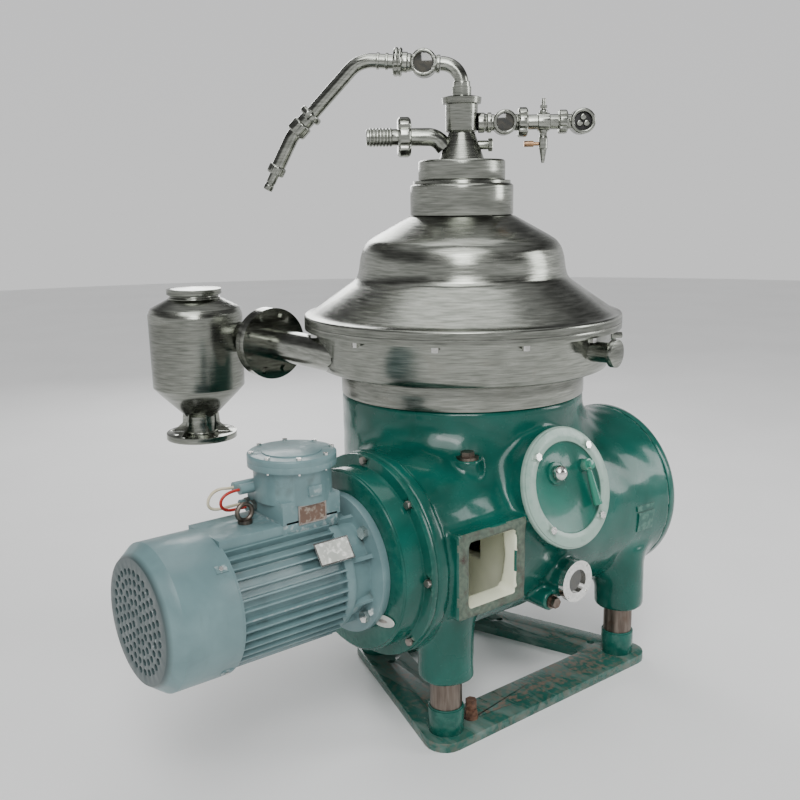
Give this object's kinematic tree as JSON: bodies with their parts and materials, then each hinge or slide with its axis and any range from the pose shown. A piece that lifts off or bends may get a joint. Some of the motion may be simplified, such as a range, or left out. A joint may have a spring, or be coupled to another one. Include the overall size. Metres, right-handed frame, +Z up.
{
  "type": "cream separator",
  "caption": "Disc bowl cream separator on a green cast worm gear housing with a flanged motor, stainless hood, product pipes and a sludge cyclone.",
  "frame": {"origin": "on the floor, at the middle of the machine's outer box; the bowl's axis stands 305.5 mm towards +X and 190 mm towards -Y of it", "axes": "+Z up along the bowl's axis, +X along the drive shaft from the motor to the gear drum, -Y towards the side with the inspection cover"},
  "size_m": [1.561, 1.35, 1.7526],
  "materials": {
    "green_paint": "gloss green enamel on cast iron",
    "rusty_steel": "rusted hexagon screw",
    "rubber": "matte",
    "bare_steel": "machined",
    "bright_steel": "bright plated",
    "lever_green": "gloss light green enamel",
    "dark_glass": "dark oily glass",
    "motor_grey": "semi-gloss blue-grey paint",
    "fan_plastic": "moulded",
    "stator_copper": "laminated core",
    "red_sleeve": "flexible sleeve",
    "cream_sleeve": "flexible sleeve",
    "friction_lining": "friction lining",
    "cream_paint": "cream paint",
    "bronze": "cast bronze",
    "spring_steel": "spring steel",
    "stainless": "polished stainless steel",
    "brass": "aged brass"
  },
  "bodies": {
    "machine": {"base_frame": "green_paint", "levelling_screw": "rusty_steel", "foot_cups": "green_paint", "rubber_dampers": "rubber", "foot_pillars": "bare_steel", "main_housing": "green_paint", "gear_end_cover": "green_paint", "leg_sockets": "green_paint", "bowl_column": "green_paint", "inspection_cover": "green_paint", "cover_bolts": "bright_steel", "sight_glass_ring": "bright_steel", "sight_glass_lens": "dark_glass", "oil_plugs": "bare_steel", "housing_plates": "green_paint", "motor_adapter": "green_paint", "housing_bolts": "bare_steel", "motor_flange_bolts": "bright_steel", "motor_frame": "motor_grey", "motor_end_shield": "motor_grey", "fan_cover": "motor_grey", "stator_core": "stator_copper", "terminal_box": "motor_grey", "terminal_lid": "motor_grey", "terminal_screws": "bright_steel", "eyebolt": "bright_steel", "red_lead": "red_sleeve", "cream_lead": "cream_sleeve", "shaft_bearings": "bare_steel", "spindle_bearings": "bare_steel", "neck_springs": "spring_steel", "steel_band": "stainless", "bowl_casing": "stainless", "frame_hood": "stainless", "clamp_rings": "stainless", "outlet_housing": "stainless", "paring_discs": "stainless", "feed_pipe": "stainless", "sight_glasses": "stainless", "light_phase_outlet": "stainless", "heavy_phase_outlet": "stainless", "sludge_pipe": "stainless", "cyclone": "stainless"},
    "bowl": {"spindle": "bare_steel", "bowl_body": "stainless", "disc_stack": "stainless", "bowl_hood": "stainless", "lock_ring": "stainless"},
    "sliding_bowl_bottom": {"sliding_bottom": "stainless"},
    "gear_shaft": {"drive_shaft": "bare_steel", "worm_wheel": "bronze", "clutch_drum": "cream_paint"},
    "motor_shaft": {"motor_rotor": "bare_steel", "cooling_fan": "fan_plastic", "clutch_hub": "bare_steel"},
    "rear_shoe": {"clutch_shoe_rear": "friction_lining"},
    "front_shoe": {"clutch_shoe_front": "friction_lining"},
    "push_button": {"rev_counter_button": "bright_steel"},
    "lever": {"brake_lever": "lever_green"},
    "tap_handle": {"sampling_handle": "brass"}
  },
  "joints": [
    {"name": "bowl_spin", "type": "hinge", "parent": "machine", "child": "bowl", "pos_m": [0.3055, -0.19, 0.9], "axis": [0, 0, 1], "continuous": true},
    {"name": "bowl_bottom_slide", "type": "slide", "parent": "bowl", "child": "sliding_bowl_bottom", "axis": [0, 0, -1], "range_m": [0, 0.01]},
    {"name": "gear_shaft_spin", "type": "hinge", "parent": "machine", "child": "gear_shaft", "pos_m": [0.3055, -0.355, 0.479], "axis": [1, 0, 0], "continuous": true},
    {"name": "motor_spin", "type": "hinge", "parent": "machine", "child": "motor_shaft", "pos_m": [-0.3945, -0.355, 0.479], "axis": [1, 0, 0], "continuous": true},
    {"name": "rear_shoe_slide", "type": "slide", "parent": "motor_shaft", "child": "rear_shoe", "axis": [0, 1, 0], "range_m": [0, 0.0045]},
    {"name": "front_shoe_slide", "type": "slide", "parent": "motor_shaft", "child": "front_shoe", "axis": [0, -1, 0], "range_m": [0, 0.0045]},
    {"name": "button_press", "type": "slide", "parent": "machine", "child": "push_button", "axis": [0, 0.9563, -0.2924], "range_m": [0, 0.006], "stiffness_N_per_m": 900},
    {"name": "brake_lever_turn", "type": "hinge", "parent": "machine", "child": "lever", "pos_m": [0.3415, -0.62982, 0.67485], "axis": [0, -0.9563, 0.2924], "range_deg": [0, 60]},
    {"name": "sampling_tap_turn", "type": "hinge", "parent": "machine", "child": "tap_handle", "pos_m": [0.46093, -0.31586, 1.495], "axis": [0.7771, -0.6293, 0], "range_deg": [0, 90]}
  ],
  "couplings": [
    {"joint": "gear_shaft_spin", "follows": "bowl_spin", "ratio": 0.21875},
    {"joint": "motor_spin", "follows": "bowl_spin", "ratio": 0.21875},
    {"joint": "front_shoe_slide", "follows": "rear_shoe_slide", "ratio": 1}
  ]
}
